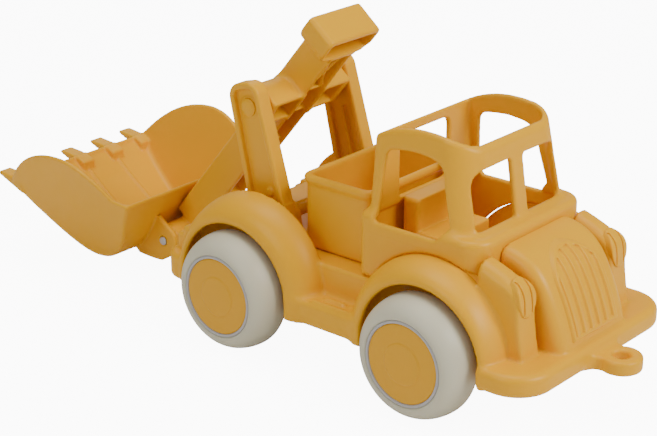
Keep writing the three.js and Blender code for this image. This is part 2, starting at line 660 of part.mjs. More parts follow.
function cab() {
  const outer = join([cabLower(0), cabUpper(0)]);
  const inner = join([cabLower(CAB_WALL), cabUpper(CAB_WALL)]);
  const floorOpening = block(-CAB_HALF_WIDTH + CAB_WALL, CAB_HALF_WIDTH - CAB_WALL,
    CAB_FRONT_Y + CAB_WALL, CAB_BACK_Y - CAB_WALL, DECK_Z - 5, DECK_Z + 8);
  const shell = cut(outer.intersect(underRoof()), [inner, floorOpening]);
  const { wheelY, radius, shift } = FENDERS[0];
  const wheelRoom = rod(radius + GAP, FENDER_INNER_X - 4, FENDER_OUTER_X + 5, wheelY + shift[0],
    WHEEL_RADIUS + shift[1], WHEEL_FACETS);
  const frontDrop = bothSides(block(30, 60, CAB_FRONT_Y - 5, 0, DECK_Z - 5, WHEEL_RADIUS + 38));
  return cut(shell, [doorWindows(), ...windscreens(), rearWindow(), ...bothSides(wheelRoom), ...frontDrop]);
}

function seat() {
  const back = CAB_BACK_Y - SILL_LEDGE - CAB_WALL - 5 * GAP;
  const low = DECK_Z + GAP;
  const front = back - SEAT_LENGTH;
  const rest = back - SEAT_BACK_LENGTH;
  const shape = outline([
    [front, low], [back, low], [back, SEAT_BACK_Z - 3], [back - 3, SEAT_BACK_Z], [rest + 3, SEAT_BACK_Z],
    [rest, SEAT_BACK_Z - 3], [rest, SEAT_TOP_Z], [front + 2, SEAT_TOP_Z], [front, SEAT_TOP_Z - 2],
  ]);
  const solid = sideSolid(shape, -SEAT_HALF_WIDTH, SEAT_HALF_WIDTH);
  const hollow = block(-SEAT_HALF_WIDTH + WALL, SEAT_HALF_WIDTH - WALL, front + WALL, back - WALL,
    low - 1, SEAT_TOP_Z - WALL - 1);
  return solid.subtract(hollow);
}

function tub() {
  const low = DECK_Z + GAP;
  const half = TUB_HALF_WIDTH;
  const wallPlan = (inset) => roundedRectangle(-half + inset, half - inset, TUB_FRONT_Y + inset,
    TUB_BACK_Y - inset, Math.max(TUB_CORNER - inset, 0.5));
  const walls = planSolid(wallPlan(TUB_RIM_PROUD), low, TUB_TOP_Z - TUB_RIM / 2);
  const rim = planSolid(wallPlan(0), TUB_TOP_Z - TUB_RIM, TUB_TOP_Z, 1.6);
  const inside = planSolid(wallPlan(TUB_RIM_PROUD + WALL), low + WALL, TUB_TOP_Z + 5);
  return join([walls, rim]).subtract(inside);
}

// ---------------------------------------------------------------- arm

// A leg: a flanged plate with a pocket on each face.
function legOutline(inset) {
  const axis = BOOM_PIVOT.clone().sub(LEG_PIVOT);
  const length = axis.length();
  const along = axis.clone().normalize();
  const across = new THREE.Vector2(along.y, -along.x);
  const at = (a, b) => LEG_PIVOT.clone().addScaledVector(along, a).addScaledVector(across, b);
  const top = LEG_TOP_HALF_WIDTH - inset;
  const foot = LEG_FOOT_HALF_WIDTH - inset;
  const reach = LEG_TOP_REACH - inset;
  const corner = LEG_TOP_CORNER - inset / 2;
  const shoulder = length + reach - corner;
  const points = [at(0, foot), at(shoulder, top)];
  for (let i = 1; i <= 4; i += 1) {
    const angle = (i * Math.PI) / 8;
    points.push(at(shoulder + corner * Math.sin(angle), top - corner + corner * Math.cos(angle)));
  }
  for (let i = 0; i <= 4; i += 1) {
    const angle = Math.PI / 2 + (i * Math.PI) / 8;
    points.push(at(shoulder + corner * Math.sin(angle), -top + corner + corner * Math.cos(angle)));
  }
  for (let i = 0; i < 10; i += 1) {
    const angle = Math.PI + (i * Math.PI) / 10;
    points.push(at(foot * Math.sin(angle), foot * Math.cos(angle)));
  }
  return new THREE.Shape(points);
}

function leg() {
  const low = LEG_INNER_X;
  const high = LEG_INNER_X + LEG_THICKNESS;
  const middle = (low + high) / 2;
  const plate = sideSolid(legOutline(0), low, high);
  const pockets = [
    sideSolid(legOutline(WALL), low - 1, middle - LEG_WEB / 2),
    sideSolid(legOutline(WALL), middle + LEG_WEB / 2, high + 1),
  ];
  const bosses = [
    rod(LEG_ROD_RADIUS + GAP + WALL, low, high, LEG_PIVOT.x, LEG_PIVOT.y),
    rod(BOOM_PIN_RADIUS + GAP + WALL, low, high - 2, BOOM_PIVOT.x, BOOM_PIVOT.y),
  ];
  const bores = [
    rod(LEG_ROD_RADIUS + GAP, low - 1, high + 1, LEG_PIVOT.x, LEG_PIVOT.y),
    rod(BOOM_PIN_RADIUS + GAP, low - 1, high + 1, BOOM_PIVOT.x, BOOM_PIVOT.y),
  ];
  return cut(join([cut(plate, pockets), ...bosses]), bores);
}

const LEG_ROD_END_X = FENDER_INNER_X - GAP;

// The boom is drawn level, with its length towards +Y and its top towards +Z, and its pivot at
// the origin; it is then turned down to its slope and carried to the boom pivot.
function placedBoom(solid) {
  return solid.rotate([-BOOM_SLOPE, 0, 0]).translate([0, BOOM_PIVOT.x, BOOM_PIVOT.y]);
}

// Where the bucket's pin lies in the boom's own drawing.
const BARREL_PLACE = BUCKET_PIVOT.clone().sub(BOOM_PIVOT)
  .rotateAround(new THREE.Vector2(), THREE.MathUtils.degToRad(BOOM_SLOPE));

function boom() {
  const top = BOOM_PIVOT_DEPTH;
  const low = top - BOOM_DEPTH;
  const half = BOOM_WIDTH / 2;
  const crossHalf = LEG_INNER_X - GAP;
  const gripHalf = GRIP_WIDTH / 2;
  const gripEnd = -GRIP_START - GRIP_LENGTH;
  const beam = block(-half, half, -GRIP_START - 1, BOOM_END, low, top);
  const beamHollow = block(-half + WALL, half - WALL, -GRIP_START, BOOM_END - WALL, low - 1, top - WALL);
  const grip = planSolid(roundedRectangle(-gripHalf, gripHalf, gripEnd, -GRIP_START, [3, 3, 6, 6]), low, top);
  const gripHollow = block(-gripHalf + WALL, gripHalf - WALL, gripEnd + WALL, -GRIP_START - WALL,
    low - 1, top - WALL);
  const crossOutline = roundedRectangle(-CROSSPIECE_HALF_LENGTH, CROSSPIECE_HALF_LENGTH, low, top,
    [0, 0, CROSSPIECE_HALF_LENGTH - 0.5, CROSSPIECE_HALF_LENGTH - 0.5]);
  const crossInner = roundedRectangle(-CROSSPIECE_HALF_LENGTH + WALL, CROSSPIECE_HALF_LENGTH - WALL,
    low - 1, top - WALL, [0, 0, CROSSPIECE_HALF_LENGTH - 0.5 - WALL, CROSSPIECE_HALF_LENGTH - 0.5 - WALL]);
  const crosspiece = sideSolid(crossOutline, -crossHalf, crossHalf);
  const crossHollow = bothSides(sideSolid(crossInner, half, crossHalf - WALL - 1));
  const ribs = BOOM_RIBS.map((y) => block(-half + 1, half - 1, y - 1, y + 1, low + 2, top - 1));
  const barrel = rod(BARREL_RADIUS, -BARREL_WIDTH / 2, BARREL_WIDTH / 2, BARREL_PLACE.x, BARREL_PLACE.y);
  const neck = block(-half, half, BOOM_END - WALL, BARREL_PLACE.x, BARREL_PLACE.y - 6, BARREL_PLACE.y + 7);
  const body = cut(join([beam, grip, crosspiece]), [beamHollow, gripHollow, ...crossHollow]);
  const bores = [
    rod(BUCKET_PIN_RADIUS + GAP, -BARREL_WIDTH, BARREL_WIDTH, BARREL_PLACE.x, BARREL_PLACE.y),
    ...bothSides(rod(BOOM_PIN_RADIUS + PIN_GAP, half + 4, crossHalf + 1, 0, 0)),
  ];
  return placedBoom(cut(join([body, ...ribs, neck, barrel]), bores));
}

function boomPin() {
  const low = LEG_INNER_X - 2 * WALL - 2;
  const high = LEG_INNER_X + LEG_THICKNESS - 1.4;
  return rod(BOOM_PIN_RADIUS, low, high, BOOM_PIVOT.x, BOOM_PIVOT.y);
}

// ---------------------------------------------------------------- bucket

// The floor of the bucket in the Y-Z plane, from the rear rim down and forward to the lip.
function bucketFloor(inset) {
  const path = new THREE.Path();
  path.moveTo(-3 + 0.9 * inset, BUCKET_RIM_Z + 0.4 * inset);
  path.lineTo(6.5 + 0.9 * inset, 10 + 0.3 * inset);
  path.bezierCurveTo(14.5 + 0.7 * inset, -6.5 + 0.6 * inset, 24.5 + 0.3 * inset, -14.2 + inset,
    38.5, -13.9 + inset);
  path.bezierCurveTo(50.5, -13.5 + inset, 64.5 - 0.5 * inset, -3.5 + 0.9 * inset,
    BUCKET_LIP_Y - 13 - 0.5 * inset, 6.5 + 0.9 * inset);
  path.lineTo(BUCKET_LIP_Y, BUCKET_LIP_Z + 0.9 * inset);
  return path.getPoints(8);
}

// The bucket's whole side: floor below, side plate's edge above.
function bucketSide(inset) {
  const floor = bucketFloor(inset);
  const top = BUCKET_TOP_Z;
  const edge = new THREE.Path();
  edge.moveTo(BUCKET_LIP_Y, BUCKET_LIP_Z + 4);
  edge.bezierCurveTo(78.5, top - 9.5, 64.5, top - 1, 45.5, top);
  edge.bezierCurveTo(32.5, top + 0.5, 24.5, top - 4.5, 16.5, top - 9.5);
  edge.lineTo(7.5, BUCKET_RIM_Z + 1.5);
  edge.lineTo(-3, BUCKET_RIM_Z + 0.5);
  return new THREE.Shape([...floor, ...edge.getPoints(6)]);
}

// The sides lean outwards: widths grow with height.
function flared(shape, inset) {
  const slope = (BUCKET_TOP_HALF_WIDTH - BUCKET_FLOOR_HALF_WIDTH) / (BUCKET_TOP_Z - BUCKET_LIP_Z);
  const geometry = extruded(shape, -1, 1, 0, 8);
  const turn = new THREE.Matrix4().makeBasis(
    new THREE.Vector3(0, 1, 0), new THREE.Vector3(0, 0, 1), new THREE.Vector3(1, 0, 0));
  geometry.applyMatrix4(turn);
  const position = geometry.attributes.position;
  for (let i = 0; i < position.count; i += 1) {
    const half = BUCKET_FLOOR_HALF_WIDTH - inset + slope * (position.getZ(i) - BUCKET_LIP_Z);
    position.setX(i, position.getX(i) * half);
  }
  return solidOf(geometry);
}

function tooth(x) {
  const low = BUCKET_LIP_Z;
  const shape = outline([
    [BUCKET_LIP_Y - 5, low - 2.7], [BUCKET_LIP_Y + TOOTH_LENGTH, low + 3.6],
    [BUCKET_LIP_Y + TOOTH_LENGTH, low + 5.2], [BUCKET_LIP_Y - 2, low + 3.4],
  ]);
  return sideSolid(shape, x - TOOTH_WIDTH / 2, x + TOOTH_WIDTH / 2);
}

function ear() {
  const shape = new THREE.Shape();
  shape.moveTo(6, 14.5);
  shape.lineTo(-4, 7);
  shape.absarc(0, 0, EAR_REACH, Math.PI * 0.67, Math.PI * 1.25);
  shape.lineTo(3.5, -13);
  shape.lineTo(24.5, -11.5);
  shape.lineTo(14.5, -2.5);
  return sideSolid(shape, EAR_OUTER_X - EAR_THICKNESS, EAR_OUTER_X);
}

function bucket() {
  const outer = flared(bucketSide(0), 0);
  const raised = new THREE.Shape([...bucketFloor(BUCKET_WALL),
    new THREE.Vector2(BUCKET_LIP_Y + 3, BUCKET_LIP_Z + 60), new THREE.Vector2(-7.5, BUCKET_LIP_Z + 60)]);
  const inside = flared(raised, BUCKET_WALL);
  const shell = outer.subtract(inside);
  const teeth = [];
  for (let i = 0; i < TOOTH_COUNT; i += 1) {
    teeth.push(tooth((i - (TOOTH_COUNT - 1) / 2) * TOOTH_PITCH));
  }
  const ears = bothSides(ear().subtract(inside));
  const bore = rod(BUCKET_PIN_RADIUS + PRESS_GAP, -EAR_OUTER_X - 1, EAR_OUTER_X + 1, 0, 0);
  return cut(join([shell, ...teeth, ...ears]), [bore]).translate([0, BUCKET_PIVOT.x, BUCKET_PIVOT.y]);
}

function bucketPin() {
  return rod(BUCKET_PIN_RADIUS, -EAR_OUTER_X - 0.6, EAR_OUTER_X + 0.6, BUCKET_PIVOT.x, BUCKET_PIVOT.y);
}

// ---------------------------------------------------------------- the toy

const truck = new THREE.Group();
truck.add(
  piece("chassis", chassis(), yellowPlastic),
  piece("cab", cab(), yellowPlastic),
  piece("seat", seat(), yellowPlastic),
  piece("tub", tub(), yellowPlastic),
);

const AXLE_NAMES = ["front", "rear"];
FENDERS.forEach(({ wheelY }, index) => {
  const place = AXLE_NAMES[index];
  truck.add(piece(`${place}_axle`, axle(wheelY), steel));
  for (const side of ["left", "right"]) {
    const placed = (solid) => (side === "left" ? solid : mirrored(solid));
    truck.add(piece(`${place}_${side}_hub`, placed(hub(wheelY)), discPlastic));
    truck.add(piece(`${place}_${side}_tyre`, placed(tyre(wheelY)), tyrePlastic));
  }
});

const arm = new THREE.Group();
arm.add(
  piece("leg_left", leg(), yellowPlastic),
  piece("leg_right", mirrored(leg()), yellowPlastic),
  piece("leg_pivot_rod", rod(LEG_ROD_RADIUS, -LEG_ROD_END_X, LEG_ROD_END_X, LEG_PIVOT.x, LEG_PIVOT.y), steel),
  piece("boom", boom(), yellowPlastic),
  piece("boom_pin_left", boomPin(), yellowPlastic),
  piece("boom_pin_right", mirrored(boomPin()), yellowPlastic),
  piece("bucket", bucket(), yellowPlastic),
  piece("bucket_pin", bucketPin(), steel),
);

const toy = new THREE.Group();
toy.add(truck, arm);
toy.updateMatrixWorld(true);
const extent = new THREE.Box3().setFromObject(toy, true);
toy.position.set(0, -(extent.min.y + extent.max.y) / 2, 0);
toy.updateMatrixWorld(true);

export default toy;
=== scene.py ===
# Toy excavator: moulded plastic truck with an open-roofed cab, a tub and a rear digger arm.
# Every shape is written in millimetres from the ground under the front axle, and turned into
# the row frame's metres when its mesh is made.

import math

import bpy
import numpy as np
from mathutils import Matrix, Vector


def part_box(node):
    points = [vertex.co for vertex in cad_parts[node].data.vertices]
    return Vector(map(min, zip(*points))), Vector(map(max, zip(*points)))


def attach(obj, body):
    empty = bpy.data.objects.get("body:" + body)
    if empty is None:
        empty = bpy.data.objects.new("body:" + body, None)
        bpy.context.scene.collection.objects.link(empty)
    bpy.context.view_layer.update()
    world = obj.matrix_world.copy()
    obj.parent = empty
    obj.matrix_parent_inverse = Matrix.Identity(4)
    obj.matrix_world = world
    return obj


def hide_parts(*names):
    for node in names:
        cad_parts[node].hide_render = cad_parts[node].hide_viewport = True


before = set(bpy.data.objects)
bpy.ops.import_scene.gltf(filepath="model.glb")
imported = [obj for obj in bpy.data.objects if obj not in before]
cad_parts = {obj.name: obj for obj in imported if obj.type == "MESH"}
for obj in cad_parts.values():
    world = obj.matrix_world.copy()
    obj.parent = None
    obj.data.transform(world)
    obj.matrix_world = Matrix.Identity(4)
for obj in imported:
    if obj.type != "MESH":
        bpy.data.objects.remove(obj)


# ---------------------------------------------------------------- camera and size
# The camera looks at the truck's left front from above, at a long focal length.
# The size of the frame is kept as plain lists.

AXLE_LOW, AXLE_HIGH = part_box("front_axle")
FRONT_AXLE_Y = (AXLE_LOW.y + AXLE_HIGH.y) / 2
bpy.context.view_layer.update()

CAMERA_AT = (-0.63664, -0.55033, 0.38451)
CAMERA_ANGLES = (-49.68, 21.54, 0.04)         # azimuth, elevation and roll, in degrees
CAMERA_LENS, CAMERA_SENSOR = 97.37, 36
CAMERA_SHIFT = (-0.0064, -0.002)
azimuth, elevation, roll = (math.radians(a) for a in CAMERA_ANGLES)
back = Vector((math.sin(azimuth) * math.cos(elevation), -math.cos(azimuth) * math.cos(elevation),
               math.sin(elevation)))
right = (-back).cross(Vector((0, 0, 1))).normalized()
up = right.cross(-back)
right, up = right * math.cos(roll) + up * math.sin(roll), up * math.cos(roll) - right * math.sin(roll)
camera_data = bpy.data.cameras.new("camera")
camera_data.sensor_width = CAMERA_SENSOR
camera_data.lens = CAMERA_LENS
camera_data.shift_x, camera_data.shift_y = CAMERA_SHIFT
camera = bpy.data.objects.new("camera", camera_data)
turn = Matrix((right, up, back)).transposed().to_4x4()
camera.matrix_world = Matrix.Translation(CAMERA_AT) @ turn
bpy.context.scene.collection.objects.link(camera)
bpy.context.scene.camera = camera


# ---------------------------------------------------------------- materials
# Satin moulded polyethylene for every yellow part, a softer off-white vinyl for the tyres and
# the ring in them, a slightly duller yellow for the hub discs, and drawn steel for the rods.

def colour(code):
    """Linear colour of an sRGB hex code: c/12.92 below 0.04045, else ((c+0.055)/1.055)^2.4."""
    parts = [int(code[i:i + 2], 16) / 255 for i in (1, 3, 5)]
    return [p / 12.92 if p <= 0.04045 else ((p + 0.055) / 1.055) ** 2.4 for p in parts] + [1]


def add(tree, kind, links, **values):
    """A node of a kind, with its properties set and its inputs linked or filled in."""
    node = tree.nodes.new(kind)
    for name, value in values.items():
        setattr(node, name, value)
    for socket, value in links.items():
        if isinstance(value, bpy.types.NodeSocket):
            tree.links.new(value, node.inputs[socket])
        else:
            node.inputs[socket].default_value = value
    return node


def wanted_colour(mix):
    """The colour output of a mix node."""
    return next(s for s in mix.outputs if s.enabled and s.type == "RGBA")


def moulded(name, light, dark, roughness, subsurface, speck):
    """Moulded plastic: faint flow marks between two colours, uneven gloss and a fine skin."""
    material = bpy.data.materials.new(name)
    material.use_nodes = True
    tree = material.node_tree
    shader = tree.nodes["Principled BSDF"]
    place = add(tree, "ShaderNodeTexCoord", {}).outputs["Object"]
    # Flow marks lie about 70 mm apart, worn patches 18 mm and the mould's grain 1 mm.
    flow = add(tree, "ShaderNodeTexNoise", {"Vector": place, "Scale": 14, "Detail": 3, "Roughness": 0.55})
    grain = add(tree, "ShaderNodeTexNoise", {"Vector": place, "Scale": 900, "Detail": 2})
    wear = add(tree, "ShaderNodeTexNoise", {"Vector": place, "Scale": 55, "Detail": 5})
    tint = add(tree, "ShaderNodeMix", {"Factor": flow.outputs["Fac"], "A": colour(dark), "B": colour(light)},
               data_type="RGBA")
    gloss = add(tree, "ShaderNodeMapRange", {"Value": wear.outputs["Fac"], "From Min": 0.3, "From Max": 0.7,
                                             "To Min": roughness - 0.04, "To Max": roughness + 0.05})
    skin = add(tree, "ShaderNodeBump", {"Height": grain.outputs["Fac"], "Strength": speck,
                                        "Distance": 0.0001})
    tree.links.new(wanted_colour(tint), shader.inputs["Base Color"])
    tree.links.new(gloss.outputs["Result"], shader.inputs["Roughness"])
    tree.links.new(skin.outputs["Normal"], shader.inputs["Normal"])
    shader.inputs["IOR"].default_value = 1.5
    shader.inputs["Specular IOR Level"].default_value = 0.32
    shader.inputs["Subsurface Weight"].default_value = subsurface
    shader.inputs["Subsurface Scale"].default_value = 0.004
    shader.inputs["Subsurface Radius"].default_value = (1.0, 0.45, 0.12)
    return material


yellow = moulded("moulded_yellow_polyethylene", "#F1B000", "#ECA900", 0.4, 0.1, 0.12)
disc_yellow = moulded("moulded_yellow_disc", "#E8A912", "#E2A20E", 0.48, 0.05, 0.12)
off_white = moulded("moulded_off_white_vinyl", "#D2CCB2", "#CBC5AA", 0.42, 0.1, 0.15)
grey_white = moulded("moulded_grey_white_vinyl", "#BDB9B6", "#B5B1AF", 0.5, 0.05, 0.15)


def drawn_steel():
    """Steel rod with fine lines drawn along its length."""
    material = bpy.data.materials.new("drawn_steel")
    material.use_nodes = True
    tree = material.node_tree
    shader = tree.nodes["Principled BSDF"]
    place = add(tree, "ShaderNodeTexCoord", {}).outputs["Object"]
    # Drawing lines lie about a third of a millimetre apart and run 50 mm along the rod.
    stretch = add(tree, "ShaderNodeMapping", {"Vector": place, "Scale": (20, 3000, 3000)})
    lines = add(tree, "ShaderNodeTexNoise", {"Vector": stretch.outputs["Vector"], "Scale": 1, "Detail": 3})
    gloss = add(tree, "ShaderNodeMapRange", {"Value": lines.outputs["Fac"], "To Min": 0.22, "To Max": 0.42})
    tint = add(tree, "ShaderNodeMix", {"Factor": lines.outputs["Fac"], "A": colour("#B4B6B9"),
                                       "B": colour("#C6C8CA")}, data_type="RGBA")
    tree.links.new(gloss.outputs["Result"], shader.inputs["Roughness"])
    tree.links.new(wanted_colour(tint), shader.inputs["Base Color"])
    shader.inputs["Metallic"].default_value = 1
    return material


steel = drawn_steel()


# ---------------------------------------------------------------- chassis
# One moulding: deck, four round fenders, hood, two lamp pods, bumper with a tow eye, running
# boards and stepped rear corners. It is a distance field, negative inside, that blends its
# parts with soft fillets, and its surface is then skinned on an even grid.

def slab(a, low, high):
    """Distance to the space between two planes: |a - middle| - half."""
    return np.abs(a - (low + high) / 2) - (high - low) / 2


def crossed(d, e, r):
    """Space inside both d and e, with the edge between them rounded to radius r."""
    d, e = d + r, e + r
    return np.minimum(np.maximum(d, e), 0) + np.hypot(np.maximum(d, 0), np.maximum(e, 0)) - r


def melt(a, b, r):
    """Smooth union: min(a, b) - h^2 / 4r, where h = max(r - |a - b|, 0)."""
    h = np.maximum(r - np.abs(a - b), 0)
    return np.minimum(a, b) - h * h / (4 * r)


def carve(a, b, r):
    """a with b taken away, and the edge softened over r."""
    return -melt(-a, b, r)


def within(a, b, r):
    """The part of a inside b, with the edge softened over r."""
    return -melt(-a, -b, r)


def block(x, y, z, xs, ys, zs, r):
    """A box between pairs of limits, with all its edges rounded to radius r."""
    d = [slab(x, *xs) + r, slab(y, *ys) + r, slab(z, *zs) + r]
    outside = np.sqrt(sum(np.maximum(e, 0) ** 2 for e in d))
    return np.minimum(np.maximum(np.maximum(d[0], d[1]), d[2]), 0) + outside - r


def polygon(a, b, points):
    """Signed distance to a closed outline: the least distance to its sides, negative where a ray
    from the place crosses them an odd number of times."""
    a, b = np.broadcast_arrays(a, b)
    least = np.full(a.shape, 1e12)
    odd = np.zeros(a.shape, bool)
    points = np.asarray(points, float)
    for (a0, b0), (a1, b1) in zip(points, np.roll(points, -1, 0)):
        da, db = a1 - a0, b1 - b0
        share = np.clip(((a - a0) * da + (b - b0) * db) / max(da * da + db * db, 1e-12), 0, 1)
        least = np.minimum(least, (a - a0 - share * da) ** 2 + (b - b0 - share * db) ** 2)
        if db != 0:
            odd ^= ((b0 > b) != (b1 > b)) & (a < a0 + (b - b0) * da / db)
    return np.where(odd, -1, 1) * np.sqrt(least)


def softened(points, rounds=3):
    """A closed outline with its corners cut a quarter of the way along each side, some times over."""
    points = np.asarray(points, float)
    for _ in range(rounds):
        after = np.roll(points, -1, 0)
        points = np.stack([0.75 * points + 0.25 * after, 0.25 * points + 0.75 * after], 1).reshape(-1, 2)
    return points


def skin(field, low, high, cell):
    """Points and quads of the surface field = 0: one point in each grid cell that the surface
    enters, at the mean of its crossings of the cell's edges and then moved down the gradient onto
    the surface, and one quad around each crossed edge."""
    low, high = np.asarray(low, float), np.asarray(high, float)
    count = np.ceil((high - low) / cell).astype(int) + 1
    axes = [low[i] + cell * np.arange(count[i]) for i in range(3)]
    value = np.broadcast_to(field(*np.meshgrid(*axes, indexing="ij", sparse=True)), count)
    cells = count - 1
    index, place, quads = [], [], []
    for axis in range(3):
        a = np.take(value, range(count[axis] - 1), axis)
        b = np.take(value, range(1, count[axis]), axis)
        at = np.argwhere((a < 0) != (b < 0))
        va, vb = a[tuple(at.T)], b[tuple(at.T)]
        point = at.astype(float)
        point[:, axis] += va / (va - vb)
        u, v = (axis + 1) % 3, (axis + 2) % 3
        ring = []
        for du, dv in ((-1, -1), (0, -1), (0, 0), (-1, 0)):
            corner = at.copy()
            corner[:, u] += du
            corner[:, v] += dv
            ring.append(np.ravel_multi_index(corner.T, cells))
        ring = np.stack(ring, 1)
        index.append(ring.T.ravel())
        place.append(np.tile(point, (4, 1)))
        quads.append(np.where((va < 0)[:, None], ring, ring[:, ::-1]))
    index, place, quads = (np.concatenate(part) for part in (index, place, quads))
    used, inverse = np.unique(index, return_inverse=True)
    hits = np.bincount(inverse)
    points = np.stack([np.bincount(inverse, place[:, i]) / hits for i in range(3)], 1) * cell + low
    step = 0.02
    for _ in range(3):
        here = field(*points.T)
        slope = np.stack([field(*(points + step * np.eye(3)[i]).T) - here for i in range(3)], 1) / step
        move = here[:, None] * slope / np.maximum((slope ** 2).sum(1), 0.05)[:, None]
        far = np.linalg.norm(move, axis=1)
        points = points - move * np.minimum(1, 0.4 * cell / np.maximum(far, 1e-9))[:, None]
    return points, np.searchsorted(used, quads)


def moulding(name, points, faces, material, body, slot):
    """A smooth mesh object from points in millimetres, riding on a body."""
    mesh = bpy.data.meshes.new(name)
    row = (np.asarray(points, float) / 1000 + (0, FRONT_AXLE_Y, 0)).astype(np.float32)
    faces = np.asarray(faces, np.int32)
    mesh.vertices.add(len(row))
    mesh.vertices.foreach_set("co", row.ravel())
    mesh.loops.add(faces.size)
    mesh.loops.foreach_set("vertex_index", faces.ravel())
    mesh.polygons.add(len(faces))
    mesh.polygons.foreach_set("loop_start", np.arange(0, faces.size, faces.shape[1], dtype=np.int32))
    mesh.update(calc_edges=True)
    mesh.validate()
    mesh.shade_smooth()
    mesh.materials.append(material)
    piece = bpy.data.objects.new(name, mesh)
    bpy.context.scene.collection.objects.link(piece)
    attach(piece, body)
    return piece


COARSE = 1
WHEELBASE = 114.7
WHEEL_RADIUS = 30
OPENING = 34
FENDER_FLAT, FENDER_OUTER = 43, 59
FENDERS = [(0, 42.5, (2, 1)), (WHEELBASE, 43.5, (-4, 4))]
DECK = 52
SKIRT = 24.5
WELL_WALL = 44.5                # outer face of the long walls between the wheels
WALL = 2.6
LEG_PIVOT = np.array((109.3, 61.4))
CHEEK = (22.7, 28.7)            # the two cheeks that hold the legs' rod
AXLE_HOLE, ROD_HOLE, TOW_HOLE = 2.3, 3.3, 4.2
EYE_Y = -71.5


def fender(x, y, z, wheel, radius, shift, inset):
    """Level to FENDER_FLAT, then a quarter ellipse down to the lip: (u/16)^2 + (v/drop)^2 = 1,
    around a circle whose middle moves from the fender's own to the wheel's."""
    width = FENDER_OUTER - FENDER_FLAT - inset
    drop = radius - OPENING - 1.2
    out = np.clip((x - FENDER_FLAT) / width, 0, 1)
    share = np.sqrt(1 - out ** 2)
    r = np.hypot(y - wheel - share * shift[0], z - WHEEL_RADIUS - share * shift[1])
    u = np.maximum(x - FENDER_FLAT, 0) / width
    v = np.maximum(r - (radius - drop - inset), 0) / drop
    reach = np.sqrt(u ** 2 + v ** 2) + 1e-6
    slope = np.sqrt((u / width) ** 2 + (v / drop) ** 2) / reach + 1e-3
    return np.maximum(np.maximum((reach - 1) / slope, -3.0), slab(x, 42 + inset, 80))


HOOD_SIDE = [(-14, 20), (-14, 80.2), (-24, 79.8), (-29.5, 78.8), (-35, 76.6), (-40, 73.2), (-44.4, 68.4),
             (-48.2, 62), (-51.6, 54.8), (-54.6, 47.4), (-57, 40), (-58.4, 33), (-58.6, 20)]
POD_SIDE = [(-14, 20), (-14, 80.5), (-24, 77.8), (-33, 74.6), (-39, 71.9), (-42.4, 69.2), (-44, 65.6),
            (-44.6, 61), (-44.8, 55), (-46, 46), (-47.8, 36), (-48, 20)]
HOOD_OUTLINE, POD_OUTLINE = softened(HOOD_SIDE, 2), softened(POD_SIDE, 2)


def front_end(x, y, z):
    """The hood and the two lamp pods: their side outlines between planes, ending at the cab."""
    hood = crossed(polygon(y, z, HOOD_OUTLINE), slab(x, -27.5, 27.5), 5.5)
    pods = crossed(polygon(y, z, POD_OUTLINE), slab(x, 31, 44.6), np.clip((z - 56) / 2.6, 1.3, 6.2))
    return np.maximum(np.maximum(np.minimum(hood, pods), y + 22.3), SKIRT - z)


def bumper(x, y, z):
    """A flat bar whose front corners are rounded to 19, with soft edges."""
    plan = crossed(slab(x, -61, 61), slab(y, -62, -26), np.where(y < -44, 19, 1.5))
    return crossed(plan, slab(z, 25, 36), 3.6)


def tow_eye(x, y, z):
    """A ring of radius 10 around a hole, on a neck that widens into the bumper."""
    ring = np.hypot(x, y - EYE_Y)
    neck = polygon(x, y, [(-5, -56), (16, -56), (13, -60), (9.4, -64.5), (8.6, -69), (-5, -70)])
    plate = crossed(np.minimum(ring - 10, neck), slab(z, 25, 32), 1.3)
    return carve(plate, ring - TOW_HOLE, 1.2)


def rear_corner(x, y, z):
    """A low round-cornered block with two steps that rise towards the deck."""
    plan = crossed(slab(x, 38, 58.5), slab(y, 140, 164), np.where(y > 150, 11, 1))
    steps = np.minimum(block(x, y, z, (38, 51), (144, 156), (SKIRT, 51), 1.6),
                       block(x, y, z, (38, 51), (144, 160), (SKIRT, 47), 1.6))
    return np.minimum(crossed(plan, slab(z, SKIRT, 38), 2.4), steps)


def carriers(x, y, z):
    """Rounded cheeks for the legs' rod, and a plate on each side of each axle's middle."""
    foot = polygon(y, z, [(96.4, 43), (122.2, 43), (118.3, 61.4), (100.3, 61.4)])
    round_top = np.hypot(y - LEG_PIVOT[0], z - LEG_PIVOT[1]) - 9
    cheeks = crossed(np.minimum(round_top, foot), slab(x, *CHEEK), 0.8)
    plates = [block(x, y, z, (16, 20), (wheel - 6, wheel + 6), (25, 51), 0.6) for wheel in (0, WHEELBASE)]
    return np.minimum(cheeks, np.minimum(*plates))


def rod_holes(x, y, z):
    """Round holes through the carriers for both axles and the legs' rod."""
    axles = np.minimum(np.hypot(y, z - WHEEL_RADIUS), np.hypot(y - WHEELBASE, z - WHEEL_RADIUS)) - AXLE_HOLE
    rod = np.hypot(y - LEG_PIVOT[0], z - LEG_PIVOT[1]) - ROD_HOLE
    return np.minimum(np.maximum(axles, slab(x, 14, 22)), np.maximum(rod, slab(x, 20, 30)))


